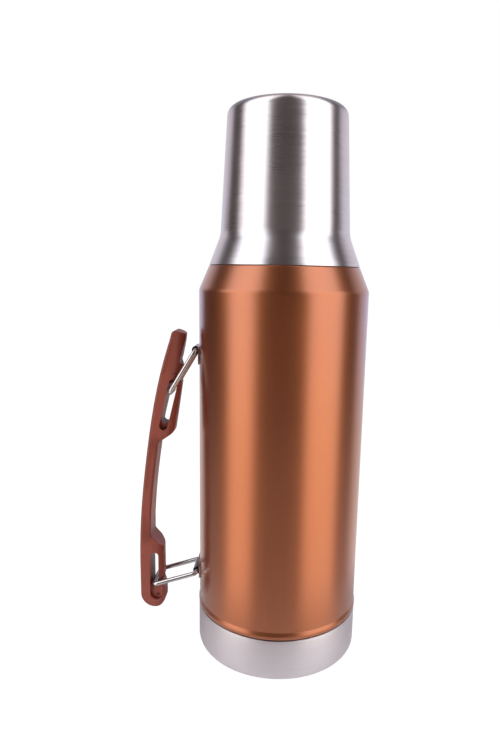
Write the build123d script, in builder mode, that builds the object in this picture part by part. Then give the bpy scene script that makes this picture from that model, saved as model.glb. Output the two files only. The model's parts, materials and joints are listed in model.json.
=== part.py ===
# Vacuum growler: a painted steel bottle with a vacuum jacket, a screw stopper, a steel
# cup that covers the stopper, and a carrying handle hung on two wire bails.
# Millimetres. The origin is at the centre of the foot, +Z is up, and the handle is
# towards -X.

import os
from math import cos, radians, sin

from build123d import *

# Body
BODY_R = 52.5
JACKET_WALL = 0.7
JACKET_FOOT_Z = 3.0
JACKET_FOOT_R = 51.9
BEAD_R = 53.1
BEAD_LOW = 27.5
BEAD_HIGH = 33.0
SHOULDER_LOW = 235.0
SHOULDER_HIGH = 249.4
SHOULDER_R = 46.3
NECK_R = 31.0
NECK_TOP = 282.4

# Inner vessel and the parts of the vacuum space
VESSEL_R = 47.0
VESSEL_WALL = 0.5
VESSEL_FLOOR = 12.0
VESSEL_SHOULDER = 224.0
MOUTH_R = 28.4
MOUTH_Z = 283.0
PLUG_HOLE_R = 2.0
GETTER_X = 22.0

# Base
BASE_R = 52.9
BASE_WALL = 0.8
BASE_RIM = 27.05
BASE_LIFT = 0.4
PAD_R = 44.2
PAD_THICK = 0.95

# Neck collar, stopper and their thread
COLLAR_R = 33.4
COLLAR_LOW = 250.5
COLLAR_TOP = 285.8
SLEEVE_R = 25.9
SLEEVE_WALL = 2.3
SLEEVE_LOW = 262.0
STOPPER_PITCH = 4.0
STOPPER_TURNS = 2.0
STOPPER_THREAD_Z = 267.0
STOPPER_R = 24.7
STOPPER_WALL = 2.2
STOPPER_LOW = 256.0
FLANGE_R = 29.6
FLANGE_LOW = 286.6
FLANGE_HIGH = 289.0
SOCKET_R = 26.2
CAP_R = 28.5
CAP_LOW = 289.05
CAP_TOP = 308.5
CAP_WALL = 2.0
CAP_FLUTES = 24

# Cup
CUP_TOP = 339.9
CUP_TOP_R = 35.55
CUP_NECK_R = 39.45
CUP_NECK_Z = 267.5
CUP_RIM_R = 46.25
CUP_RIM_Z = 249.75
CUP_WALL = 0.6
LINER_TOP = 335.5
LINER_TOP_R = 33.0
LINER_R = 37.0
LINER_WALL = 0.5
LINER_FLANGE_Z = 253.1
LINER_FLANGE_R = 44.0
CUP_PITCH = 5.0
CUP_TURNS = 2.0
CUP_THREAD_Z = 262.0

# Handle, bails and brackets
WIRE_R = 1.5
UPPER_BAIL_LENGTH = 31.8
LOWER_BAIL_LENGTH = 30.0
BAIL_WIDTH = 21.0
BAIL_BEND = 2.6
HINGE_X = -54.3
UPPER_HINGE_Z = 197.1
LOWER_HINGE_Z = 46.9
UPPER_BAIL_ANGLE = 59.3
LOWER_BAIL_ANGLE = 18.0
KNUCKLE_R = 2.6
KNUCKLE_BORE = 1.55
KNUCKLE_HALF = 6.5
PLATE_THICK = 1.0
PLATE_ARC = 28.4
PLATE_LONG = 8.6
PLATE_SHORT = 2.8
PAINT_GAP = 0.03
HANDLE_WIDTH = 17.4
HANDLE_ROUND = 1.6
LUG_ROUND = 8.0
UPPER_SLOT_TILT = 76.6

os.makedirs("parts", exist_ok=True)


def save(piece, name):
    """Label a finished piece and write its STEP file."""
    piece.part.label = name
    export_step(piece.part, f"parts/{name}.step")


def ring(inner_r, outer_r, low, high, edge=0.0):
    """A plain turned ring about the bottle's axis, its corners rounded by edge."""
    with BuildPart(mode=Mode.PRIVATE) as turned:
        with BuildSketch(Plane.XZ):
            with Locations(((inner_r + outer_r) / 2, (low + high) / 2)):
                if edge:
                    RectangleRounded(outer_r - inner_r, high - low, edge)
                else:
                    Rectangle(outer_r - inner_r, high - low)
        revolve(axis=Axis.Z)
    return turned.part


def thread(root_r, crest_r, pitch, turns, low, root_half, crest_half):
    """One right-hand ridge that climbs from low; crest_r may be inside root_r."""
    with BuildPart(mode=Mode.PRIVATE) as ridge:
        with BuildLine():
            climb = Helix(pitch, pitch * turns, root_r, center=(0, 0, low))
        start = Plane(origin=climb @ 0, x_dir=(1, 0, 0), z_dir=climb % 0)
        with BuildSketch(start):
            rise = crest_r - root_r
            foot = -0.3 if rise > 0 else 0.3
            with BuildLine():
                Polyline(
                    (foot, -root_half),
                    (rise, -crest_half),
                    (rise, crest_half),
                    (foot, root_half),
                    close=True,
                )
            make_face()
        sweep(path=climb, is_frenet=True)
    return ridge.part


# ---------------------------------------------------------------- bottle body

# Painted outer jacket: a thin wall that follows one line from the foot to the neck
with BuildPart() as outer_shell:
    with BuildSketch(Plane.XZ):
        with BuildLine():
            foot = FilletPolyline(
                (JACKET_FOOT_R, JACKET_FOOT_Z),
                (JACKET_FOOT_R, BEAD_LOW),
                (BEAD_R, BEAD_LOW),
                (BEAD_R, BEAD_HIGH),
                (BODY_R, BEAD_HIGH + 1.2),
                (BODY_R, 120),
                radius=0.55,
            )
            side = FilletPolyline(
                foot @ 1,
                (BODY_R, SHOULDER_LOW),
                ((BODY_R + SHOULDER_R) / 2, (SHOULDER_LOW + SHOULDER_HIGH) / 2),
                radius=7,
            )
            FilletPolyline(
                side @ 1,
                (SHOULDER_R, SHOULDER_HIGH),
                (NECK_R, SHOULDER_HIGH),
                (NECK_R, NECK_TOP),
                radius=1.0,
            )
            offset(amount=JACKET_WALL, side=Side.LEFT, closed=True)
        make_face()
    revolve(axis=Axis.Z)
save(outer_shell, "outer_shell")

# Inner vessel: holds the drink, and its rolled lip closes the top of the jacket
with BuildPart() as inner_vessel:
    with BuildSketch(Plane.XZ):
        with BuildLine():
            floor = FilletPolyline(
                (0, VESSEL_FLOOR + 2),
                (10, VESSEL_FLOOR + 2),
                (26, VESSEL_FLOOR),
                (VESSEL_R, VESSEL_FLOOR),
                (VESSEL_R, VESSEL_SHOULDER / 2),
                radius=9,
            )
            crown = FilletPolyline(
                floor @ 1,
                (VESSEL_R, VESSEL_SHOULDER),
                (VESSEL_R - 6, VESSEL_SHOULDER + 18),
                (MOUTH_R, VESSEL_SHOULDER + 22),
                (MOUTH_R, VESSEL_SHOULDER + 40),
                radius=4,
            )
            FilletPolyline(
                crown @ 1,
                (MOUTH_R, MOUTH_Z),
                (NECK_R, MOUTH_Z),
                radius=0.8,
            )
            offset(amount=VESSEL_WALL, side=Side.RIGHT, closed=True)
        make_face()
    revolve(axis=Axis.Z)
save(inner_vessel, "inner_vessel")

# Plate that closes the foot of the jacket, with the evacuation hole at its centre
with BuildPart() as vacuum_base_plate:
    plate_r = JACKET_FOOT_R - JACKET_WALL - 0.05
    with BuildSketch(Plane.XZ):
        with BuildLine():
            FilletPolyline(
                (PLUG_HOLE_R, 4.2),
                (14, 4.2),
                (18, 3.4),
                (plate_r, 3.4),
                (plate_r, 9.0),
                radius=0.9,
            )
            offset(amount=0.6, side=Side.LEFT, closed=True)
        make_face()
    revolve(axis=Axis.Z)
save(vacuum_base_plate, "vacuum_base_plate")

# Seal plug brazed into the evacuation hole
with BuildPart() as vacuum_seal_plug:
    with BuildSketch(Plane.XZ):
        with BuildLine():
            Polyline(
                (0, 2.6),
                (4.4, 2.6),
                (5.0, 3.1),
                (5.0, 4.15),
                (PLUG_HOLE_R - 0.05, 4.15),
                (PLUG_HOLE_R - 0.05, 5.3),
                (0, 5.3),
                close=True,
            )
        make_face()
    revolve(axis=Axis.Z)
save(vacuum_seal_plug, "vacuum_seal_plug")

# Getter pill that keeps the vacuum, spot-fixed to the plate inside the jacket
with BuildPart() as getter_pill:
    with BuildSketch(Plane.XY.offset(4.05)):
        with Locations((GETTER_X + 4, 0)):
            Circle(6.5)
            Circle(2.2, mode=Mode.SUBTRACT)
    extrude(amount=3.0)
    chamfer(getter_pill.edges().filter_by(GeomType.CIRCLE).group_by(Axis.Z)[-1], 0.5)
save(getter_pill, "getter_pill")

# Brushed steel base cup
with BuildPart() as base_cup:
    with BuildSketch(Plane.XZ):
        with BuildLine():
            under = FilletPolyline(
                (0, PAD_THICK + 0.05),
                (PAD_R + 0.4, PAD_THICK + 0.05),
                (PAD_R + 1.4, BASE_LIFT),
                (PAD_R + 3.5, BASE_LIFT),
                radius=0.35,
            )
            FilletPolyline(
                under @ 1,
                (BASE_R, BASE_LIFT),
                (BASE_R, BASE_RIM),
                radius=2.7,
            )
            offset(amount=BASE_WALL, side=Side.LEFT, closed=True)
        make_face()
    revolve(axis=Axis.Z)
    fillet(base_cup.edges().group_by(Axis.Z)[-1], 0.3)
save(base_cup, "base_cup")

# Soft pad under the base
with BuildPart() as base_pad:
    with BuildSketch(Plane.XY):
        Circle(PAD_R)
    extrude(amount=PAD_THICK)
    fillet(base_pad.edges().group_by(Axis.Z)[0], 0.4)
save(base_pad, "base_pad")

# ---------------------------------------------------------------- neck and stopper

# Moulded collar over the steel neck: the cup's thread outside, the stopper's inside
with BuildPart() as neck_collar:
    with BuildSketch(Plane.XZ):
        with BuildLine():
            Polyline(
                (NECK_R + 0.1, COLLAR_LOW),
                (COLLAR_R, COLLAR_LOW),
                (COLLAR_R, COLLAR_TOP),
                (SLEEVE_R, COLLAR_TOP),
                (SLEEVE_R, SLEEVE_LOW),
                (SLEEVE_R + SLEEVE_WALL, SLEEVE_LOW),
                (SLEEVE_R + SLEEVE_WALL, MOUTH_Z + 0.6),
                (NECK_R + 0.1, MOUTH_Z + 0.6),
                close=True,
            )
        make_face()
    revolve(axis=Axis.Z)
    fillet(neck_collar.edges().group_by(Axis.Z)[-1], 0.6)
    add(thread(COLLAR_R, COLLAR_R + 0.9, CUP_PITCH, CUP_TURNS, CUP_THREAD_Z, 1.1, 0.5))
    add(thread(SLEEVE_R, SLEEVE_R - 0.95, STOPPER_PITCH, STOPPER_TURNS,
               STOPPER_THREAD_Z, 0.75, 0.35))
save(neck_collar, "neck_collar")

# Gasket between the steel lip and the collar
with BuildPart() as collar_gasket:
    add(ring(SLEEVE_R + SLEEVE_WALL + 0.1, NECK_R, MOUTH_Z + 0.03, MOUTH_Z + 0.57, 0.2))
save(collar_gasket, "collar_gasket")

# Stopper body: a hollow plug with the male thread, a flange and a socket for its cap
with BuildPart() as stopper_body:
    with BuildSketch(Plane.XZ):
        with BuildLine():
            Polyline(
                (0, STOPPER_LOW),
                (STOPPER_R, STOPPER_LOW),
                (STOPPER_R, FLANGE_LOW),
                (FLANGE_R, FLANGE_LOW),
                (FLANGE_R, FLANGE_HIGH),
                (SOCKET_R, FLANGE_HIGH),
                (SOCKET_R, FLANGE_HIGH + 4),
                (STOPPER_R - STOPPER_WALL, FLANGE_HIGH + 4),
                (STOPPER_R - STOPPER_WALL, STOPPER_LOW + STOPPER_WALL),
                (0, STOPPER_LOW + STOPPER_WALL),
                close=True,
            )
        make_face()
    revolve(axis=Axis.Z)
    fillet(stopper_body.edges().group_by(Axis.Z)[0], 1.5)
    add(thread(STOPPER_R, STOPPER_R + 0.95, STOPPER_PITCH, STOPPER_TURNS,
               STOPPER_THREAD_Z + STOPPER_PITCH / 2, 0.75, 0.35))
save(stopper_body, "stopper_body")

# Foam core inside the stopper
with BuildPart() as stopper_insulation:
    core_low = STOPPER_LOW + STOPPER_WALL + 0.1
    with BuildSketch(Plane.XY.offset(core_low)):
        Circle(STOPPER_R - STOPPER_WALL - 0.1)
    extrude(amount=FLANGE_HIGH - core_low)
    chamfer(stopper_insulation.edges(), 0.8)
save(stopper_insulation, "stopper_insulation")

# Fluted grip cap on the stopper
with BuildPart() as stopper_cap:
    with BuildSketch(Plane.XY.offset(CAP_LOW)):
        Circle(CAP_R)
    extrude(amount=CAP_TOP - CAP_LOW)
    fillet(stopper_cap.edges().group_by(Axis.Z)[-1], 2.2)
    with BuildSketch(Plane.XY.offset(CAP_LOW)):
        with PolarLocations(CAP_R + 0.9, CAP_FLUTES):
            Circle(1.9)
    extrude(amount=CAP_TOP - CAP_LOW - 3.2, mode=Mode.SUBTRACT)
    with BuildSketch(Plane.XY.offset(CAP_LOW)):
        Circle(SOCKET_R + 0.05)
    extrude(amount=4.2, mode=Mode.SUBTRACT)
    with BuildSketch(Plane.XY.offset(CAP_LOW)):
        Circle(CAP_R - 2.6)
    extrude(amount=CAP_TOP - CAP_LOW - CAP_WALL, mode=Mode.SUBTRACT)
save(stopper_cap, "stopper_cap")

# Seal ring under the stopper's flange
with BuildPart() as stopper_seal:
    add(ring(SLEEVE_R + 0.3, FLANGE_R - 0.2, COLLAR_TOP + 0.03, FLANGE_LOW - 0.03, 0.3))
save(stopper_seal, "stopper_seal")

# ---------------------------------------------------------------- cup

# Brushed outer skin of the cup, from the crown down the flare to the rim
with BuildPart() as cup_shell:
    with BuildSketch(Plane.XZ):
        with BuildLine():
            crown_line = FilletPolyline(
                (0, CUP_TOP),
                (CUP_TOP_R, CUP_TOP),
                ((CUP_TOP_R + CUP_NECK_R) / 2, (CUP_TOP + CUP_NECK_Z) / 2),
                radius=4.8,
            )
            FilletPolyline(
                crown_line @ 1,
                (CUP_NECK_R, CUP_NECK_Z),
                (CUP_RIM_R, CUP_RIM_Z),
                radius=18,
            )
            offset(amount=CUP_WALL, side=Side.RIGHT, closed=True)
        make_face()
    revolve(axis=Axis.Z)
save(cup_shell, "cup_shell")

# Steel liner inside the cup
with BuildPart() as cup_liner:
    with BuildSketch(Plane.XZ):
        with BuildLine():
            FilletPolyline(
                (0, LINER_TOP),
                (LINER_TOP_R, LINER_TOP),
                (LINER_R, CUP_NECK_Z + 13),
                (LINER_R, LINER_FLANGE_Z),
                (LINER_FLANGE_R, LINER_FLANGE_Z),
                radius=1.2,
            )
            offset(amount=LINER_WALL, side=Side.LEFT, closed=True)
        make_face()
    revolve(axis=Axis.Z)
save(cup_liner, "cup_liner")

# Moulded ring pressed into the liner, with the thread that grips the neck collar
with BuildPart() as cup_thread_collar:
    with BuildSketch(Plane.XZ):
        with BuildLine():
            Polyline(
                (LINER_R - 1.5, LINER_FLANGE_Z - 1.7),
                (LINER_FLANGE_R - 0.5, LINER_FLANGE_Z - 1.7),
                (LINER_FLANGE_R - 0.5, LINER_FLANGE_Z - 0.1),
                (LINER_R - 0.1, LINER_FLANGE_Z - 0.1),
                (LINER_R - 0.1, CUP_NECK_Z + 11),
                (LINER_R - 1.5, CUP_NECK_Z + 11),
                close=True,
            )
        make_face()
    revolve(axis=Axis.Z)
    add(thread(LINER_R - 1.5, LINER_R - 2.5, CUP_PITCH, CUP_TURNS,
               CUP_THREAD_Z - CUP_PITCH / 2, 1.1, 0.5))
save(cup_thread_collar, "cup_thread_collar")

# Seal ring between the cup and the shoulder of the body
with BuildPart() as cup_seal:
    add(ring(39.0, 43.0, SHOULDER_HIGH + 0.03, LINER_FLANGE_Z - 1.75, 0.4))
save(cup_seal, "cup_seal")

# ---------------------------------------------------------------- handle


def bracket(hinge_z, plate_way):
    """A curved plate on the body with a rolled knuckle; plate_way is +1 up, -1 down."""
    low = hinge_z - (PLATE_SHORT if plate_way > 0 else PLATE_LONG)
    high = hinge_z + (PLATE_LONG if plate_way > 0 else PLATE_SHORT)
    inner_r = BODY_R + PAINT_GAP
    with BuildPart(mode=Mode.PRIVATE) as piece:
        with BuildSketch(Plane.XZ.rotated((0, 0, 180 - PLATE_ARC / 2))):
            with Locations((inner_r + PLATE_THICK / 2, (low + high) / 2)):
                Rectangle(PLATE_THICK, high - low)
        revolve(axis=Axis.Z, revolution_arc=PLATE_ARC)
        corners = piece.edges().filter_by(GeomType.LINE).filter_by(
            lambda edge: edge.length < PLATE_THICK * 1.5
        )
        fillet(corners, 2.2)
        with BuildSketch(Plane.XZ.offset(-KNUCKLE_HALF)):
            with Locations((HINGE_X, hinge_z)):
                Circle(KNUCKLE_R)
        extrude(amount=2 * KNUCKLE_HALF)
        with BuildSketch(Plane.XZ.offset(-KNUCKLE_HALF - 10)):
            with Locations((HINGE_X, hinge_z)):
                Circle(KNUCKLE_BORE)
        extrude(amount=2 * KNUCKLE_HALF + 20, mode=Mode.SUBTRACT)
        with BuildSketch(Plane.XY.offset(low)):
            Circle(inner_r)
        extrude(amount=high - low, mode=Mode.SUBTRACT)
    return piece.part


def bail(hinge_z, angle, length):
    """A closed wire loop that hangs out from its hinge, angle degrees below level."""
    along = Vector(-cos(radians(angle)), 0, -sin(radians(angle)))
    loop_plane = Plane(
        origin=(HINGE_X, 0, hinge_z), x_dir=along, z_dir=along.cross(Vector(0, 1, 0))
    )
    with BuildPart(mode=Mode.PRIVATE) as loop:
        with BuildSketch(loop_plane, mode=Mode.PRIVATE) as outline:
            with Locations((length / 2, 0)):
                RectangleRounded(length, BAIL_WIDTH, BAIL_BEND)
        wire = outline.sketch.wires()[0]
        with BuildSketch(Plane(origin=wire @ 0, z_dir=wire % 0)):
            Circle(WIRE_R)
        sweep(path=wire)
    return loop.part


with BuildPart() as upper_bracket:
    add(bracket(UPPER_HINGE_Z, -1))
save(upper_bracket, "upper_bracket")

with BuildPart() as lower_bracket:
    add(bracket(LOWER_HINGE_Z, 1))
save(lower_bracket, "lower_bracket")

with BuildPart() as upper_bail:
    add(bail(UPPER_HINGE_Z, UPPER_BAIL_ANGLE, UPPER_BAIL_LENGTH))
save(upper_bail, "upper_bail")

with BuildPart() as lower_bail:
    add(bail(LOWER_HINGE_Z, LOWER_BAIL_ANGLE, LOWER_BAIL_LENGTH))
save(lower_bail, "lower_bail")

# Moulded grip: one curved bar with a slotted, snap-in mouth for the wire at each end
with BuildPart() as handle_grip:
    with BuildSketch(Plane.XZ):
        with BuildLine():
            spine = Spline(
                (-70.9, 202.5),
                (-77.2, 180.8),
                (-86.6, 129.0),
                (-91.7, 80.0),
                (-92.6, 48.0),
            )
            tip = Line(spine @ 1, (-92.6, 29.1))
            heel = ThreePointArc(tip @ 1, (-89.79, 22.31), (-83.0, 19.5))
            toe = ThreePointArc(heel @ 1, (-78.05, 21.55), (-76.0, 26.5))
            lower_lip = FilletPolyline(
                toe @ 1,
                (-76.0, 31.6),
                (-78.4, 36.2),
                (-77.1, 41.0),
                (-77.1, 50.0),
                radius=1.5,
            )
            lower_step = FilletPolyline(
                lower_lip @ 1,
                (-77.1, 62.4),
                (-84.9, 71.2),
                (-84.8, 82.0),
                radius=3.0,
            )
            palm = ThreePointArc(lower_step @ 1, (-82.2, 111.5), (-79.6, 130.5))
            upper_step = FilletPolyline(
                palm @ 1,
                (-79.0, 136.0),
                (-69.0, 143.0),
                (-67.4, 152.0),
                radius=4.5,
            )
            upper_lug = ThreePointArc(upper_step @ 1, (-65.4, 164.0), (-63.8, 175.6))
            nose = FilletPolyline(
                upper_lug @ 1,
                (-63.1, 186.2),
                (-65.0, 189.8),
                (-63.9, 193.0),
                (-63.1, 196.5),
                radius=1.0,
            )
            brow = FilletPolyline(nose @ 1, (-60.6, 206.9), (-64.7, 208.35), radius=1.6)
            FilletPolyline(brow @ 1, (-68.9, 209.85), spine @ 0, radius=2.6)
        make_face()
    extrude(amount=HANDLE_WIDTH / 2, both=True)
    fillet(handle_grip.faces().sort_by(Axis.Y)[0].outer_wire().edges(), HANDLE_ROUND)
    fillet(handle_grip.faces().sort_by(Axis.Y)[-1].outer_wire().edges(), HANDLE_ROUND)
    # The lugs are rounded right across their inner edges; each pair of points is the
    # low and the high end of the line that one rounding follows
    inner_edges = (
        (Vector(-75.9, 0, 16.0), Vector(-75.9, 0, 37.0)),
        (Vector(-77.0, 0, 37.0), Vector(-77.0, 0, 78.0)),
        (Vector(-69.2, 0, 139.0), Vector(-62.9, 0, 181.0)),
        (Vector(-63.9, 0, 181.0), Vector(-60.4, 0, 211.0)),
    )
    for low_end, high_end in inner_edges:
        along = (high_end - low_end).normalized()
        outward = Vector(0, 1, 0).cross(along)
        with BuildSketch(Plane(origin=low_end, x_dir=outward, z_dir=along)):
            with Locations((-LUG_ROUND / 2, 0)):
                Rectangle(LUG_ROUND + 8, HANDLE_WIDTH + 4)
            with Locations((-2 * LUG_ROUND, 0)):
                RectangleRounded(
                    4 * LUG_ROUND, HANDLE_WIDTH + 0.04, LUG_ROUND, mode=Mode.SUBTRACT
                )
        extrude(amount=(high_end - low_end).length, mode=Mode.SUBTRACT)
    # Slots right through for the two wires, each with its mouth towards the bottle
    with BuildSketch(Plane.XZ.offset(-HANDLE_WIDTH)):
        with Locations((-72.0, 161.9)):
            SlotCenterToCenter(21.6, 5.4, rotation=UPPER_SLOT_TILT)
        with BuildLine():
            Polyline(
                (-68.4, 178.2),
                (-66.6, 180.6),
                (-61.0, 188.0),
                (-61.0, 172.0),
                (-65.2, 178.2),
                (-67.2, 176.0),
                close=True,
            )
        make_face()
        with Locations((-83.2, 46.8)):
            SlotCenterToCenter(19.6, 5.6, rotation=90)
        with BuildLine():
            Polyline(
                (-82.0, 39.4),
                (-75.5, 41.1),
                (-75.5, 36.5),
                (-82.0, 37.0),
                close=True,
            )
        make_face()
    extrude(amount=2 * HANDLE_WIDTH, mode=Mode.SUBTRACT)
    # Blind hollows that carry the slots on, cut into both flat sides
    hollows = (
        ((-69.13, 173.95), 3.2, 5.4, UPPER_SLOT_TILT, 5.0),
        ((-74.97, 149.45), 4.1, 5.2, UPPER_SLOT_TILT, 3.0),
        ((-81.6, 32.4), 5.6, 8.8, 90, 2.4),
        ((-81.0, 28.4), 0.01, 2.2, 90, 3.1),
    )
    for side in (-1, 1):
        for centre, length, width, tilt, depth in hollows:
            floor_y = side * (HANDLE_WIDTH / 2 - depth)
            with BuildSketch(Plane.XZ.offset(-floor_y)):
                with Locations(centre):
                    SlotCenterToCenter(length, width, rotation=tilt)
            extrude(amount=-side * HANDLE_WIDTH, mode=Mode.SUBTRACT)
save(handle_grip, "handle_grip")
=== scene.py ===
# The growler's looks, built around the imported CAD frame. Lengths in metres, outlines in
# millimetres. The turned steel pieces are rebuilt as fine lathe meshes, and the rest of
# the CAD nodes keep their shape, a few with softened edges.

import json
import math

import bmesh
import bpy
from mathutils import Matrix, Vector


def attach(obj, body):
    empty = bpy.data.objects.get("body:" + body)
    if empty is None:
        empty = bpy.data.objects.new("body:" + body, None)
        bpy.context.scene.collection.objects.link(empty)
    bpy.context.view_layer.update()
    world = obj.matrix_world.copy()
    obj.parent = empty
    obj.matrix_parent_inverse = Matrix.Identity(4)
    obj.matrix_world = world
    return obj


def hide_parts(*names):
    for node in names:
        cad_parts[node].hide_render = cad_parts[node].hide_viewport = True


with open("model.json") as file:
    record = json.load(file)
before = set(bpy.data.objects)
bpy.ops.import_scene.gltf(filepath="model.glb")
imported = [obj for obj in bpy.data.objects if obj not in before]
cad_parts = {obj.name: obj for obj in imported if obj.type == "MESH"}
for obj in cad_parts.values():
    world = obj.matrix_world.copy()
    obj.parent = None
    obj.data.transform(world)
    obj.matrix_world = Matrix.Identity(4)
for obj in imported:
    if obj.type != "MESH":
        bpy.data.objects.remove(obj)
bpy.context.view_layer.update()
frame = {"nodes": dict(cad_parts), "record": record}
nodes = frame["nodes"]

MM = 0.001
LATHE_STEPS = 256
AXIS_REACH = 0.001  # an outline point this close to the axis, in mm, lies on it
BUMP_DEPTH = 0.02 * MM

# Outlines of the turned pieces, in millimetres. They follow the CAD, except that the
# bead above the base ends half a millimetre lower.
BODY_R = 52.5
JACKET_WALL = 0.7
JACKET_FOOT_R = 51.5
JACKET_FOOT_Z = 3.0
BEAD_R = 53.1
BEAD_LOW = 27.5
BEAD_CROWN = 30.1
BEAD_HIGH = 32.5
SHOULDER_LOW = 235.0
SHOULDER_HIGH = 249.4
SHOULDER_R = 46.3
NECK_R = 31.0
NECK_TOP = 282.4
VESSEL_R = 47.0
VESSEL_WALL = 0.5
VESSEL_FLOOR = 12.0
VESSEL_DOME = 14.0
VESSEL_SHOULDER = 224.0
MOUTH_R = 28.4
MOUTH_Z = 283.0
BASE_R = 52.9
BASE_WALL = 0.8
BASE_LOW = 0.4
BASE_RIM = 27.05
PAD_SEAT_R = 44.6
PAD_SEAT_Z = 1.0
CUP_TOP = 339.9
CUP_TOP_R = 35.55
CUP_NECK_R = 39.45
CUP_NECK_Z = 267.5
CUP_RIM_R = 46.25
CUP_RIM_Z = 249.75
CUP_WALL = 0.6
LINER_TOP = 335.5
LINER_TOP_R = 33.0
LINER_R = 37.0
LINER_BEND = 280.5
LINER_LOW = 253.1
LINER_FLANGE_R = 44.0
LINER_WALL = 0.5
# past this reach the bracket's colour turns to painted shade
KNUCKLE_REACH = 53.0 * MM  # the rolled knuckles lie further out than this

# Floor: its radius in millimetres, the rest in metres. The lit patch round the foot
# fades from its inner to its outer radius.
FLOOR_R = 2600
FLOOR_DROP = 0.02 * MM
PATCH_INNER = 0.085
PATCH_OUTER = 0.15
FLOOR_SHADE = 0.16

# Camera: metres, degrees and a 36 mm frame
CAMERA_DISTANCE = 0.36474
CAMERA_HEIGHT = 0.2435
CAMERA_YAW = -1.7637
CAMERA_PITCH = 10.9827
CAMERA_ROLL = 1.0491
LENS = 27.64
SHIFT_X = -0.01864
SHIFT_Y = 0.0171

# Colours, linear
COPPER = (0.505, 0.166, 0.065)
COPPER_DARK = (0.375, 0.110, 0.041)
STEEL = (0.77, 0.72, 0.73)
# The base's steel: the cup's steel a touch darker, as painted shade
STEEL_BASE_SHADED = (0.755, 0.70, 0.715)
STEEL_VESSEL = (0.60, 0.60, 0.61)
WIRE = (0.68, 0.66, 0.64)
# Bracket: the copper paint greyed towards lavender, a painted reflection of the rim's sheen
BRACKET_WITH_SHEEN = (0.40, 0.25, 0.22)
# Knuckle: near black, painted shade on the painted knuckle round the wire
KNUCKLE_SHADE = (0.022, 0.017, 0.016)
GRIP = (0.255, 0.055, 0.034)
BLACK = (0.018, 0.018, 0.020)
SILICONE = (0.56, 0.55, 0.52)
RUBBER = (0.028, 0.028, 0.030)
FOAM = (0.80, 0.78, 0.70)
GETTER = (0.16, 0.16, 0.17)
BRASS = (0.60, 0.40, 0.17)

# What the object reflects: walls and ceiling of the studio, its two lights, and haze
BACKDROP = (0.74, 0.71, 0.80)
BACKDROP_LOW = (0.70, 0.71, 0.90)
CEILING = (0.34, 0.31, 0.34)
DARK = (0.040, 0.028, 0.028)
BRIGHT = (2.05, 2.0, 2.05)
HAZE = (1.18, 1.05, 1.06)


# ------------------------------------------------------------------ node helpers


def new_material(name):
    """An empty node material with its Principled node and output joined."""
    material = bpy.data.materials.new(name)
    material.use_nodes = True
    tree = material.node_tree
    tree.nodes.clear()
    shader = tree.nodes.new("ShaderNodeBsdfPrincipled")
    output = tree.nodes.new("ShaderNodeOutputMaterial")
    tree.links.new(shader.outputs["BSDF"], output.inputs["Surface"])
    return material, tree, shader


def add_node(tree, kind, **settings):
    """A new node with its attributes set from the keywords."""
    node = tree.nodes.new(kind)
    for key, value in settings.items():
        setattr(node, key, value)
    return node


def maths(tree, operation, first, second=None):
    """A maths node; each input is a socket or a number."""
    node = add_node(tree, "ShaderNodeMath", operation=operation)
    for index, value in enumerate((first, second)):
        if value is None:
            continue
        if isinstance(value, (int, float)):
            node.inputs[index].default_value = value
        else:
            tree.links.new(value, node.inputs[index])
    return node.outputs[0]


def map_range(tree, value, low, high, to_low, to_high):
    """value mapped from low..high to to_low..to_high, held at the ends."""
    node = add_node(tree, "ShaderNodeMapRange", clamp=True)
    tree.links.new(value, node.inputs["Value"])
    node.inputs["From Min"].default_value = low
    node.inputs["From Max"].default_value = high
    node.inputs["To Min"].default_value = to_low
    node.inputs["To Max"].default_value = to_high
    return node.outputs["Result"]


def noise(tree, vector, scale, detail=3.0, roughness=0.5):
    """A noise texture's value over a vector socket."""
    node = add_node(tree, "ShaderNodeTexNoise")
    node.inputs["Scale"].default_value = scale
    node.inputs["Detail"].default_value = detail
    node.inputs["Roughness"].default_value = roughness
    tree.links.new(vector, node.inputs["Vector"])
    return node.outputs["Fac"]


def object_position(tree):
    """The shading point in the object's own axes, in metres."""
    return add_node(tree, "ShaderNodeTexCoord").outputs["Object"]


def turned_coordinates(tree, around, along):
    """A vector whose lines run round the bottle's axis: slow round it, fast along it."""
    split = add_node(tree, "ShaderNodeSeparateXYZ")
    tree.links.new(object_position(tree), split.inputs[0])
    x, y, z = split.outputs
    angle = maths(tree, "ARCTAN2", y, x)
    radius = maths(
        tree, "SQRT", maths(tree, "ADD", maths(tree, "MULTIPLY", x, x),
                            maths(tree, "MULTIPLY", y, y))
    )
    travel = maths(tree, "ADD", z, radius)
    joined = add_node(tree, "ShaderNodeCombineXYZ")
    tree.links.new(maths(tree, "MULTIPLY", angle, around), joined.inputs[0])
    tree.links.new(maths(tree, "MULTIPLY", travel, along), joined.inputs[1])
    return joined.outputs[0]


def mix_colour(tree, factor, first, second):
    """A colour between two, by a factor socket."""
    node = add_node(tree, "ShaderNodeMix", data_type="RGBA")
    tree.links.new(factor, node.inputs[0])
    for index, value in ((6, first), (7, second)):
        if isinstance(value, tuple):
            node.inputs[index].default_value = (*value, 1.0)
        else:
            tree.links.new(value, node.inputs[index])
    return node.outputs[2]


def add_bump(tree, shader, height, strength, distance):
    """Bump from a height socket; distance is in metres. The new normal is given back."""
    bump = add_node(tree, "ShaderNodeBump")
    bump.inputs["Strength"].default_value = strength
    bump.inputs["Distance"].default_value = distance
    tree.links.new(height, bump.inputs["Height"])
    tree.links.new(bump.outputs["Normal"], shader.inputs["Normal"])
    return bump.outputs["Normal"]


# ------------------------------------------------------------------ materials


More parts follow.
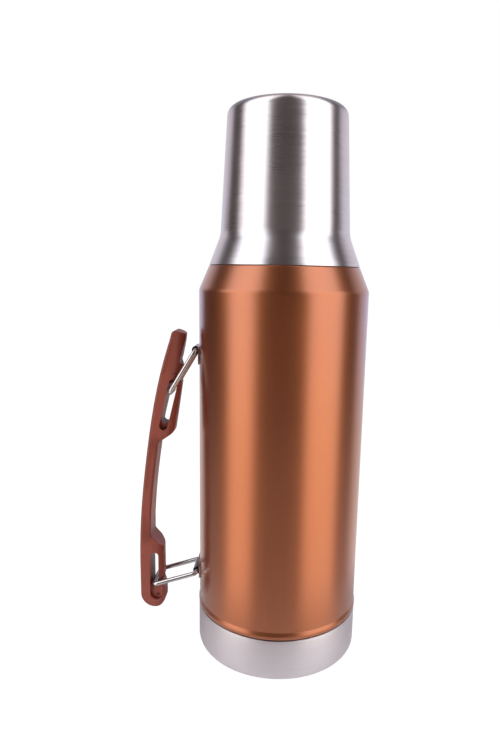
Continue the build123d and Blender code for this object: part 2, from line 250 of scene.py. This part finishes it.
def lean_normal(tree, shader, normal, tangent, amount):
    """Turn a normal a little along the tangent, by an amount socket."""
    sideways = add_node(tree, "ShaderNodeVectorMath", operation="SCALE")
    tree.links.new(tangent, sideways.inputs[0])
    tree.links.new(amount, sideways.inputs[3])
    leaning = add_node(tree, "ShaderNodeVectorMath", operation="ADD")
    tree.links.new(normal, leaning.inputs[0])
    tree.links.new(sideways.outputs[0], leaning.inputs[1])
    unit = add_node(tree, "ShaderNodeVectorMath", operation="NORMALIZE")
    tree.links.new(leaning.outputs[0], unit.inputs[0])
    tree.links.new(unit.outputs[0], shader.inputs["Normal"])


def turned_grain(tree, shader, stretch):
    """Highlights stretched along the axis, as turning and brushing leave them."""
    shader.inputs["Anisotropic"].default_value = stretch
    shader.inputs["Anisotropic Rotation"].default_value = 0.25
    tangent = add_node(tree, "ShaderNodeTangent", direction_type="RADIAL", axis="Z")
    tree.links.new(tangent.outputs[0], shader.inputs["Tangent"])
    return tangent.outputs[0]


def brushed_metal(name, colour, rough, stretch, line, tint=0.04, lean=0.0):
    """Turned and brushed metal, with line fine scores to the metre round the axis.

    rough is the mean roughness and stretch its direction. Scores are darker by tint, and
    lean turns their normals a little, so that reflections have ragged edges.
    """
    material, tree, shader = new_material(name)
    fine = noise(tree, turned_coordinates(tree, 1.4, line), 1.0, detail=4.0, roughness=0.65)
    scores = noise(
        tree, turned_coordinates(tree, 1.0, line * 0.3), 1.0, detail=4.0, roughness=0.7
    )
    broad = noise(tree, turned_coordinates(tree, 0.5, line * 0.06), 1.0)
    wear = noise(tree, object_position(tree), 38.0, detail=4.0)
    shade = tuple(channel * (1 - tint) for channel in colour)
    bared = map_range(tree, scores, 0.3, 0.7, 0.0, 1.0)
    tree.links.new(mix_colour(tree, bared, shade, colour), shader.inputs["Base Color"])
    shader.inputs["Metallic"].default_value = 1.0
    streak = map_range(tree, fine, 0.3, 0.7, rough - 0.018, rough + 0.018)
    patch = map_range(tree, wear, 0.35, 0.7, -0.012, 0.02)
    band = map_range(tree, broad, 0.3, 0.7, -0.008, 0.008)
    total = maths(tree, "ADD", maths(tree, "ADD", streak, patch), band)
    tree.links.new(total, shader.inputs["Roughness"])
    tangent = turned_grain(tree, shader, stretch)
    scored = add_bump(tree, shader, fine, 0.01, BUMP_DEPTH)
    if lean:
        amount = map_range(tree, scores, 0.3, 0.7, -lean, lean)
        lean_normal(tree, shader, scored, tangent, amount)
    return material


def copper_paint(name):
    """Satin metallic paint over brushed steel: flakes, faint lines and a clear coat."""
    material, tree, shader = new_material(name)
    place = object_position(tree)
    flakes = add_node(tree, "ShaderNodeTexVoronoi")
    flakes.inputs["Scale"].default_value = 5200.0
    tree.links.new(place, flakes.inputs["Vector"])
    cloud = noise(tree, place, 16.0, detail=4.0)
    lines = noise(tree, turned_coordinates(tree, 2.2, 2600.0), 1.0, roughness=0.6)
    sparkle = maths(tree, "MULTIPLY", flakes.outputs["Distance"], 0.9)
    base = mix_colour(tree, sparkle, COPPER, COPPER_DARK)
    tree.links.new(base, shader.inputs["Base Color"])
    shader.inputs["Metallic"].default_value = 0.94
    rough = map_range(tree, cloud, 0.3, 0.7, 0.33, 0.39)
    streak = map_range(tree, lines, 0.3, 0.7, -0.025, 0.025)
    tree.links.new(maths(tree, "ADD", rough, streak), shader.inputs["Roughness"])
    turned_grain(tree, shader, 0.55)
    shader.inputs["Coat Weight"].default_value = 1.0
    shader.inputs["Coat IOR"].default_value = 1.46
    shader.inputs["Coat Roughness"].default_value = 0.2
    grain = maths(tree, "ADD", flakes.outputs["Distance"], lines)
    add_bump(tree, shader, grain, 0.12, BUMP_DEPTH)
    return material


def bracket_paint_and_shade(name):
    """The bottle's paint on a welded bracket, greyed as painted reflection, with near-black
    painted shade on the knuckle round the wire.
    """
    material, tree, shader = new_material(name)
    split = add_node(tree, "ShaderNodeSeparateXYZ")
    tree.links.new(object_position(tree), split.inputs[0])
    reach = maths(tree, "MULTIPLY", split.outputs[0], -1.0)
    scuffs = noise(tree, object_position(tree), 400.0)
    ragged = map_range(tree, scuffs, 0.3, 0.7, -0.3 * MM, 0.3 * MM)
    edge = maths(tree, "ADD", reach, ragged)
    blend = 0.4 * MM
    # Painted shade over the rolled knuckle, with a ragged edge
    knuckle_shade = map_range(
        tree, edge, KNUCKLE_REACH - blend, KNUCKLE_REACH + blend, 0.0, 1.0
    )
    tree.links.new(
        mix_colour(tree, knuckle_shade, BRACKET_WITH_SHEEN, KNUCKLE_SHADE), shader.inputs["Base Color"]
    )
    shader.inputs["Metallic"].default_value = 0.9
    shader.inputs["Roughness"].default_value = 0.34
    shader.inputs["Coat Weight"].default_value = 0.8
    shader.inputs["Coat Roughness"].default_value = 0.2
    add_bump(tree, shader, scuffs, 0.1, BUMP_DEPTH)
    return material


def moulded(name, colour, rough, grain_size, grain_depth, worn):
    """Moulded plastic or rubber: fine spark grain, lighter worn edges, handling marks.

    The grain's size and depth are in metres. worn is how much lighter an edge is. Places
    with little open space round them get painted shade: a darker colour and less gloss.
    """
    material, tree, shader = new_material(name)
    place = object_position(tree)
    marks = noise(tree, place, 90.0, detail=5.0, roughness=0.6)
    edge = map_range(
        tree, add_node(tree, "ShaderNodeNewGeometry").outputs["Pointiness"],
        0.50, 0.62, 0.0, 1.0,
    )
    worn_colour = tuple(min(1.0, channel * worn + 0.01) for channel in colour)
    dull = tuple(channel * 0.88 for channel in colour)
    hollow_shade = tuple(channel * 0.25 for channel in colour)
    body = mix_colour(tree, marks, dull, colour)
    # Painted shade: the less open space round a point, the darker its colour and the weaker
    # its gloss
    shelter = add_node(tree, "ShaderNodeAmbientOcclusion", samples=8)
    shelter.inputs["Distance"].default_value = 4 * MM
    openness = map_range(tree, shelter.outputs["AO"], 0.25, 0.8, 0.0, 1.0)
    outside = mix_colour(tree, edge, body, worn_colour)
    tree.links.new(mix_colour(tree, openness, hollow_shade, outside), shader.inputs["Base Color"])
    tree.links.new(
        map_range(tree, openness, 0.0, 1.0, 0.12, 0.5), shader.inputs["Specular IOR Level"]
    )
    tree.links.new(
        map_range(tree, marks, 0.3, 0.7, rough - 0.05, rough + 0.06),
        shader.inputs["Roughness"],
    )
    grain = noise(tree, place, 1.0 / grain_size, detail=2.0)
    add_bump(tree, shader, grain, 0.3, grain_depth)
    return material


def drawn_wire(name):
    """Drawn stainless wire: bright, with faint die marks and slight tarnish."""
    material, tree, shader = new_material(name)
    place = object_position(tree)
    tarnish = noise(tree, place, 220.0, detail=4.0)
    shader.inputs["Metallic"].default_value = 1.0
    dull = tuple(channel * 0.82 for channel in WIRE)
    tree.links.new(mix_colour(tree, tarnish, WIRE, dull), shader.inputs["Base Color"])
    tree.links.new(map_range(tree, tarnish, 0.3, 0.7, 0.17, 0.27), shader.inputs["Roughness"])
    die_marks = noise(tree, place, 2400.0, detail=2.0)
    add_bump(tree, shader, die_marks, 0.12, 0.01 * MM)
    return material


def foam_material(name):
    """Moulded foam: open cells as small pits."""
    material, tree, shader = new_material(name)
    cells = add_node(tree, "ShaderNodeTexVoronoi")
    cells.inputs["Scale"].default_value = 900.0
    tree.links.new(object_position(tree), cells.inputs["Vector"])
    shade = tuple(channel * 0.8 for channel in FOAM)
    tree.links.new(
        mix_colour(tree, cells.outputs["Distance"], FOAM, shade), shader.inputs["Base Color"]
    )
    shader.inputs["Roughness"].default_value = 0.85
    add_bump(tree, shader, cells.outputs["Distance"], 0.5, 0.2 * MM)
    return material


materials = {
    "copper_paint": copper_paint("copper_paint"),
    "bracket_paint_and_shade": bracket_paint_and_shade("bracket_paint_and_shade"),
    "brushed_steel": brushed_metal(
        "brushed_steel", STEEL, rough=0.29, stretch=0.75, line=3800.0, tint=0.10, lean=0.014
    ),
    "base_steel": brushed_metal(
        "base_steel", STEEL_BASE_SHADED, rough=0.42, stretch=0.45, line=3000.0, tint=0.05, lean=0.01
    ),
    "vessel_steel": brushed_metal(
        "vessel_steel", STEEL_VESSEL, rough=0.34, stretch=0.4, line=1800.0
    ),
    "wire_steel": drawn_wire("wire_steel"),
    "grip_plastic": moulded("grip_plastic", GRIP, 0.42, 0.5 * MM, 0.03 * MM, 1.3),
    "black_plastic": moulded("black_plastic", BLACK, 0.46, 0.4 * MM, 0.03 * MM, 1.6),
    "silicone": moulded("silicone", SILICONE, 0.62, 0.6 * MM, 0.02 * MM, 1.05),
    "foot_rubber": moulded("foot_rubber", RUBBER, 0.75, 0.4 * MM, 0.05 * MM, 1.4),
    "foam": foam_material("foam"),
    "getter_alloy": moulded("getter_alloy", GETTER, 0.65, 0.3 * MM, 0.05 * MM, 1.2),
    "plug_brass": brushed_metal("plug_brass", BRASS, rough=0.35, stretch=0.2, line=1500.0),
}


# ------------------------------------------------------------------ mesh helpers


def rounded_path(corners, arc_steps=6):
    """Points along a path of (radius, height, rounding) corners, with true arcs."""
    points = []
    for index, (r, z, rounding) in enumerate(corners):
        here = Vector((r, z))
        if rounding == 0 or index in (0, len(corners) - 1):
            points.append(here)
            continue
        back = Vector(corners[index - 1][:2]) - here
        ahead = Vector(corners[index + 1][:2]) - here
        half = back.angle(ahead) / 2
        reach = rounding / math.tan(half)
        start = here + back.normalized() * reach
        end = here + ahead.normalized() * reach
        middle = here + (back.normalized() + ahead.normalized()).normalized() * (
            rounding / math.sin(half)
        )
        first = start - middle
        sweep = first.angle_signed(end - middle)
        for step in range(arc_steps + 1):
            turn = Matrix.Rotation(-sweep * step / arc_steps, 2)
            points.append(middle + turn @ first)
    return points


def spaced(points, longest):
    """The path with long straight stretches split, so that shading stays even."""
    result = [points[0]]
    for before, after in zip(points, points[1:]):
        count = max(1, math.ceil((after - before).length / longest))
        for step in range(1, count + 1):
            result.append(before.lerp(after, step / count))
    return result


def inset(points, wall):
    """The path moved sideways by wall, to the left of its direction."""
    moved = []
    for index, point in enumerate(points):
        before = points[max(index - 1, 0)]
        after = points[min(index + 1, len(points) - 1)]
        incoming = (point - before).normalized() if index else None
        outgoing = (after - point).normalized() if index < len(points) - 1 else None
        if incoming is None or incoming.length == 0:
            incoming = outgoing
        if outgoing is None or outgoing.length == 0:
            outgoing = incoming
        way = (incoming + outgoing).normalized()
        left = Vector((-way.y, way.x))
        stretch = 1 / max(0.5, left.dot(Vector((-incoming.y, incoming.x))))
        moved.append(point + left * wall * stretch)
    for point in moved:
        point.x = max(point.x, 0.0)
    return moved


def wall_outline(corners, wall, longest=8.0):
    """A closed outline of a thin wall beside a path, each open end rounded by a point."""
    near = spaced(rounded_path(corners), longest)
    far = inset(near, wall)
    outline = list(near)
    if max(near[-1].x, far[-1].x) > AXIS_REACH:
        outline.append(near[-1].lerp(far[-1], 0.5))
    outline += reversed(far)
    if max(near[0].x, far[0].x) > AXIS_REACH:
        outline.append(near[0].lerp(far[0], 0.5))
    return outline


def lathe(name, outline, steps=LATHE_STEPS):
    """A closed outline in millimetres turned about the axis."""
    rings = []
    vertices = []
    for point in outline:
        if point.x < AXIS_REACH:
            rings.append([len(vertices)])
            vertices.append((0, 0, point.y * MM))
            continue
        ring = []
        for step in range(steps):
            angle = 2 * math.pi * step / steps
            x = point.x * math.cos(angle)
            y = point.x * math.sin(angle)
            ring.append(len(vertices))
            vertices.append((x * MM, y * MM, point.y * MM))
        rings.append(ring)
    faces = []
    for index, ring in enumerate(rings):
        following = rings[(index + 1) % len(rings)]
        if len(ring) == 1 and len(following) == 1:
            continue
        for step in range(steps):
            after = (step + 1) % steps
            if len(ring) == 1:
                faces.append((ring[0], following[after], following[step]))
            elif len(following) == 1:
                faces.append((ring[step], ring[after], following[0]))
            else:
                faces.append((ring[step], ring[after], following[after], following[step]))
    mesh = bpy.data.meshes.new(name)
    mesh.from_pydata(vertices, [], faces)
    mesh.validate()
    piece = bpy.data.objects.new(name, mesh)
    bpy.context.scene.collection.objects.link(piece)
    finish_mesh(piece)
    return piece


def finish_mesh(piece):
    """Outward faces and smooth shading with area-weighted normals."""
    work = bmesh.new()
    work.from_mesh(piece.data)
    bmesh.ops.remove_doubles(work, verts=work.verts, dist=1e-7)
    bmesh.ops.recalc_face_normals(work, faces=work.faces)
    work.to_mesh(piece.data)
    work.free()
    for polygon in piece.data.polygons:
        polygon.use_smooth = True
    weighted = piece.modifiers.new("even_shading", "WEIGHTED_NORMAL")
    weighted.keep_sharp = True
    weighted.weight = 80


def dress(piece, body, slot_name, look=None, replaced=()):
    """Material and body for a new piece, the material picked by its slot's name or look; the
    CAD parts it replaces are hidden.
    """
    piece.data.materials.clear()
    piece.data.materials.append(materials[look or slot_name])
    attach(piece, body)
    if replaced:
        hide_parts(*replaced)
    return piece


# ------------------------------------------------------------------ bottle body


def build_outer_shell():
    """Painted jacket, with the rolled bead above the base and the soft shoulder."""
    path = [
        (JACKET_FOOT_R, JACKET_FOOT_Z, 0),
        (JACKET_FOOT_R, BEAD_LOW, 0.5),
        (BEAD_R, BEAD_LOW, 1.3),
        (BEAD_R, BEAD_CROWN, 2.6),
        (BODY_R, BEAD_HIGH, 1.2),
        (BODY_R, SHOULDER_LOW, 7.0),
        (SHOULDER_R, SHOULDER_HIGH, 1.0),
        (NECK_R, SHOULDER_HIGH, 1.0),
        (NECK_R, NECK_TOP, 0),
    ]
    shell = lathe("body_shell", wall_outline(path, JACKET_WALL))
    return dress(shell, "bottle", "copper_paint", replaced=("outer_shell",))


def build_inner_vessel():
    """Steel vessel for the drink, with its rolled lip."""
    path = [
        (0, VESSEL_DOME, 0),
        (10, VESSEL_DOME, 9.0),
        (26, VESSEL_FLOOR, 9.0),
        (VESSEL_R, VESSEL_FLOOR, 9.0),
        (VESSEL_R, VESSEL_SHOULDER, 4.0),
        (41.0, 242.0, 4.0),
        (MOUTH_R, 246.0, 4.0),
        (MOUTH_R, MOUTH_Z, 0.8),
        (NECK_R, MOUTH_Z, 0),
    ]
    vessel = lathe("vessel", wall_outline(path, -VESSEL_WALL))
    return dress(vessel, "bottle", "vessel_steel", replaced=("inner_vessel",))


def build_base():
    """Brushed steel base cup."""
    path = [
        (0, PAD_SEAT_Z, 0),
        (PAD_SEAT_R, PAD_SEAT_Z, 0.35),
        (PAD_SEAT_R + 1.0, BASE_LOW, 0.35),
        (BASE_R, BASE_LOW, 2.7),
        (BASE_R, BASE_RIM, 0),
    ]
    base = lathe("base_band", wall_outline(path, BASE_WALL, longest=4.0))
    return dress(base, "bottle", "brushed_steel", "base_steel", ("base_cup",))


# ------------------------------------------------------------------ cup


def build_cup_shell():
    """Brushed outer skin of the cup."""
    path = [
        (0, CUP_TOP, 0),
        (CUP_TOP_R, CUP_TOP, 4.8),
        (CUP_NECK_R, CUP_NECK_Z, 18.0),
        (CUP_RIM_R, CUP_RIM_Z, 0),
    ]
    shell = lathe("cup_skin", wall_outline(path, -CUP_WALL))
    return dress(shell, "cup", "brushed_steel", replaced=("cup_shell",))


def build_cup_liner():
    """Steel liner of the cup."""
    path = [
        (0, LINER_TOP, 0),
        (LINER_TOP_R, LINER_TOP, 1.2),
        (LINER_R, LINER_BEND, 1.2),
        (LINER_R, LINER_LOW, 1.2),
        (LINER_FLANGE_R, LINER_LOW, 0),
    ]
    liner = lathe("cup_lining", wall_outline(path, LINER_WALL))
    return dress(liner, "cup", "vessel_steel", replaced=("cup_liner",))


# ------------------------------------------------------------------ CAD nodes


def soften(node, width, angle=35.0):
    """Rounded edges on a CAD node, by modifiers only."""
    weld = node.modifiers.new("weld", "WELD")
    weld.merge_threshold = 1e-6
    bevel = node.modifiers.new("edges", "BEVEL")
    bevel.limit_method = "ANGLE"
    bevel.angle_limit = math.radians(angle)
    bevel.width = width
    bevel.segments = 3
    bevel.harden_normals = True
    weighted = node.modifiers.new("even_shading", "WEIGHTED_NORMAL")
    weighted.keep_sharp = True


def dress_cad_nodes():
    """Materials for every CAD node, from the record's slots, and edges for those seen."""
    slots = {part["node"]: part["material_slot"] for part in frame["record"]["subparts"]}
    for name, node in nodes.items():
        node.data.materials.clear()
        node.data.materials.append(materials[slots[name]])
    soften(nodes["handle_grip"], 0.35 * MM)
    for name in ("upper_bracket", "lower_bracket"):
        nodes[name].data.materials[0] = materials["bracket_paint_and_shade"]
        soften(nodes[name], 0.15 * MM)
    soften(nodes["stopper_cap"], 0.3 * MM)
    soften(nodes["neck_collar"], 0.15 * MM)
    soften(nodes["stopper_body"], 0.15 * MM)


# ------------------------------------------------------------------ stage


def mix_shaders(tree, factor, first, second):
    """A shader between two, by a factor that is a socket or a number."""
    node = add_node(tree, "ShaderNodeMixShader")
    if isinstance(factor, float):
        node.inputs[0].default_value = factor
    else:
        tree.links.new(factor, node.inputs[0])
    tree.links.new(first, node.inputs[1])
    tree.links.new(second, node.inputs[2])
    return node.outputs[0]


def floor_material():
    """Pale floor. Reflections see only its lit patch, and the camera sees it near white."""
    material, tree, shader = new_material("floor")
    shader.inputs["Base Color"].default_value = (0.92, 0.92, 0.92, 1)
    shader.inputs["Roughness"].default_value = 0.7
    surface = shader.outputs["BSDF"]
    place = object_position(tree)
    distance = add_node(tree, "ShaderNodeVectorMath", operation="LENGTH")
    tree.links.new(place, distance.inputs[0])
    lit = map_range(tree, distance.outputs["Value"], PATCH_INNER, PATCH_OUTER, 1.0, 0.0)
    clear = add_node(tree, "ShaderNodeBsdfTransparent").outputs["BSDF"]
    patch = mix_shaders(tree, lit, clear, surface)
    glow = add_node(tree, "ShaderNodeEmission")
    speck = noise(tree, place, 60.0)
    tree.links.new(map_range(tree, speck, 0.0, 1.0, 1.14, 1.16), glow.inputs["Strength"])
    picture = mix_shaders(tree, 1 - FLOOR_SHADE, surface, glow.outputs["Emission"])
    rays = add_node(tree, "ShaderNodeLightPath")
    either = mix_shaders(tree, rays.outputs["Is Camera Ray"], patch, picture)
    output = next(node for node in tree.nodes if node.type == "OUTPUT_MATERIAL")
    tree.links.new(either, output.inputs["Surface"])
    return material


def build_floor():
    """A thin round floor under the foot."""
    rim = [Vector((0, 0)), Vector((FLOOR_R, 0)), Vector((FLOOR_R, -2)), Vector((0, -2))]
    floor = lathe("floor", rim, steps=96)
    floor.modifiers.clear()
    floor.location.z = -FLOOR_DROP
    floor.data.materials.append(floor_material())


def colour_ramp(tree, factor, stops):
    """A colour from a socket; each stop is a position from 0 to 1 and a colour."""
    ramp = add_node(tree, "ShaderNodeValToRGB")
    tree.links.new(factor, ramp.inputs[0])
    elements = ramp.color_ramp.elements
    elements[0].position = 0.0
    elements[0].color = (*stops[0][1], 1)
    elements[1].position = 1.0
    elements[1].color = (*stops[-1][1], 1)
    for position, colour in stops:
        element = elements.new(position)
        element.color = (*colour, 1)
    return ramp.outputs[0]


def light_ring(tree, turn, stops):
    """Colours round the horizon; each stop is degrees from the camera's side and a colour."""
    return colour_ramp(tree, turn, [(angle / 360 + 0.5, colour) for angle, colour in stops])


def wall_rings(tree, turn):
    """The studio round the object: low on the walls, high on them, and on the ceiling.

    Each has two soft lights, one to either side of the camera, with dark between them
    and beside them, and a paler far side.
    """
    low = light_ring(tree, turn, [
        (-141, BACKDROP_LOW), (-130, DARK), (-82, DARK), (-68, BRIGHT), (-43, BRIGHT),
        (-31, DARK), (29, DARK), (40, BRIGHT), (79, BRIGHT), (90, DARK), (113, DARK),
        (125, BACKDROP_LOW),
    ])
    high = light_ring(tree, turn, [
        (-128, BACKDROP), (-116, DARK), (-95, DARK), (-83, BRIGHT), (-42, BRIGHT),
        (-30, DARK), (26, DARK), (38, BRIGHT), (83, BRIGHT), (93, DARK), (106, DARK),
        (116, BACKDROP),
    ])
    roof = light_ring(tree, turn, [
        (-135, CEILING), (-112, DARK), (-95, DARK), (-83, BRIGHT), (-42, BRIGHT),
        (-30, DARK), (26, DARK), (38, BRIGHT), (83, BRIGHT), (93, DARK), (112, DARK),
        (135, CEILING),
    ])
    return low, high, roof


def haze_amount(tree, z):
    """How much haze hides the walls: most towards the floor, a trace above the horizon."""
    trace = 0.042
    low = map_range(tree, z, -0.54, -0.12, 0.46, 0.0)
    rising = map_range(tree, z, 0.0, 0.15, 0.0, trace)
    falling = map_range(tree, z, 0.3, 0.45, trace, 0.0)
    return maths(tree, "ADD", low, maths(tree, "MINIMUM", rising, falling))


def tint_by_height(tree, colour, z):
    """A colour multiplied by a tint that is warm low down and cooler at the horizon."""
    rise = map_range(tree, z, -1.0, 1.0, 0.0, 1.0)
    tint = colour_ramp(tree, rise, [
        (0.29, (0.94, 0.81, 0.60)), (0.37, (1.0, 0.87, 0.63)), (0.475, (1.0, 1.09, 1.18)),
        (0.54, (1.0, 0.985, 0.95)), (0.65, (1.0, 0.985, 0.95)), (0.73, (1.0, 1.08, 1.16)),
        (0.86, (1.0, 1.08, 1.16)), (0.92, (1.0, 0.98, 0.94)),
    ])
    tinted = add_node(tree, "ShaderNodeMix", data_type="RGBA", blend_type="MULTIPLY")
    tinted.inputs[0].default_value = 1.0
    tree.links.new(colour, tinted.inputs[6])
    tree.links.new(tint, tinted.inputs[7])
    return tinted.outputs[2]


def build_surroundings():
    """White behind the object; two tall soft lights and a dark room in its reflections."""
    world = bpy.data.worlds.new("studio")
    bpy.context.scene.world = world
    world.use_nodes = True
    tree = world.node_tree
    tree.nodes.clear()
    way = add_node(tree, "ShaderNodeTexCoord").outputs["Generated"]
    split = add_node(tree, "ShaderNodeSeparateXYZ")
    tree.links.new(way, split.inputs[0])
    x, y, z = split.outputs
    azimuth = maths(tree, "ARCTAN2", x, maths(tree, "MULTIPLY", y, -1.0))
    turn = maths(tree, "ADD", maths(tree, "DIVIDE", azimuth, 2 * math.pi), 0.5)
    low, high, roof = wall_rings(tree, turn)
    walls = mix_colour(tree, map_range(tree, z, 0.02, 0.2, 0.0, 1.0), low, high)
    rings = mix_colour(tree, map_range(tree, z, 0.3, 0.45, 0.0, 1.0), walls, roof)
    around = mix_colour(tree, haze_amount(tree, z), tint_by_height(tree, rings, z), HAZE)
    reflected = add_node(tree, "ShaderNodeBackground")
    tree.links.new(around, reflected.inputs["Color"])
    seen = add_node(tree, "ShaderNodeBackground")
    seen.inputs["Color"].default_value = (1, 1, 1, 1)
    rays = add_node(tree, "ShaderNodeLightPath")
    either = mix_shaders(
        tree, rays.outputs["Is Camera Ray"], reflected.outputs[0], seen.outputs[0]
    )
    output = add_node(tree, "ShaderNodeOutputWorld")
    tree.links.new(either, output.inputs["Surface"])


def build_camera():
    """The camera, close and a little above the middle, as the picture was taken."""
    data = bpy.data.cameras.new("camera")
    camera = bpy.data.objects.new("camera", data)
    bpy.context.scene.collection.objects.link(camera)
    data.sensor_width = 36
    data.lens = LENS
    data.shift_x = SHIFT_X
    data.shift_y = SHIFT_Y
    yaw = Matrix.Rotation(-math.radians(CAMERA_YAW), 3, "Z")
    tilt = Matrix.Rotation(math.radians(90 - CAMERA_PITCH), 3, "X")
    roll = Matrix.Rotation(math.radians(CAMERA_ROLL), 3, "Z")
    place = Matrix.Translation((0, -CAMERA_DISTANCE, CAMERA_HEIGHT))
    camera.matrix_world = place @ (yaw @ tilt @ roll).to_4x4()
    bpy.context.scene.camera = camera
    bpy.context.scene.view_settings.view_transform = "Standard"


build_outer_shell()
build_inner_vessel()
build_base()
build_cup_shell()
build_cup_liner()
dress_cad_nodes()
build_floor()
build_surroundings()
build_camera()
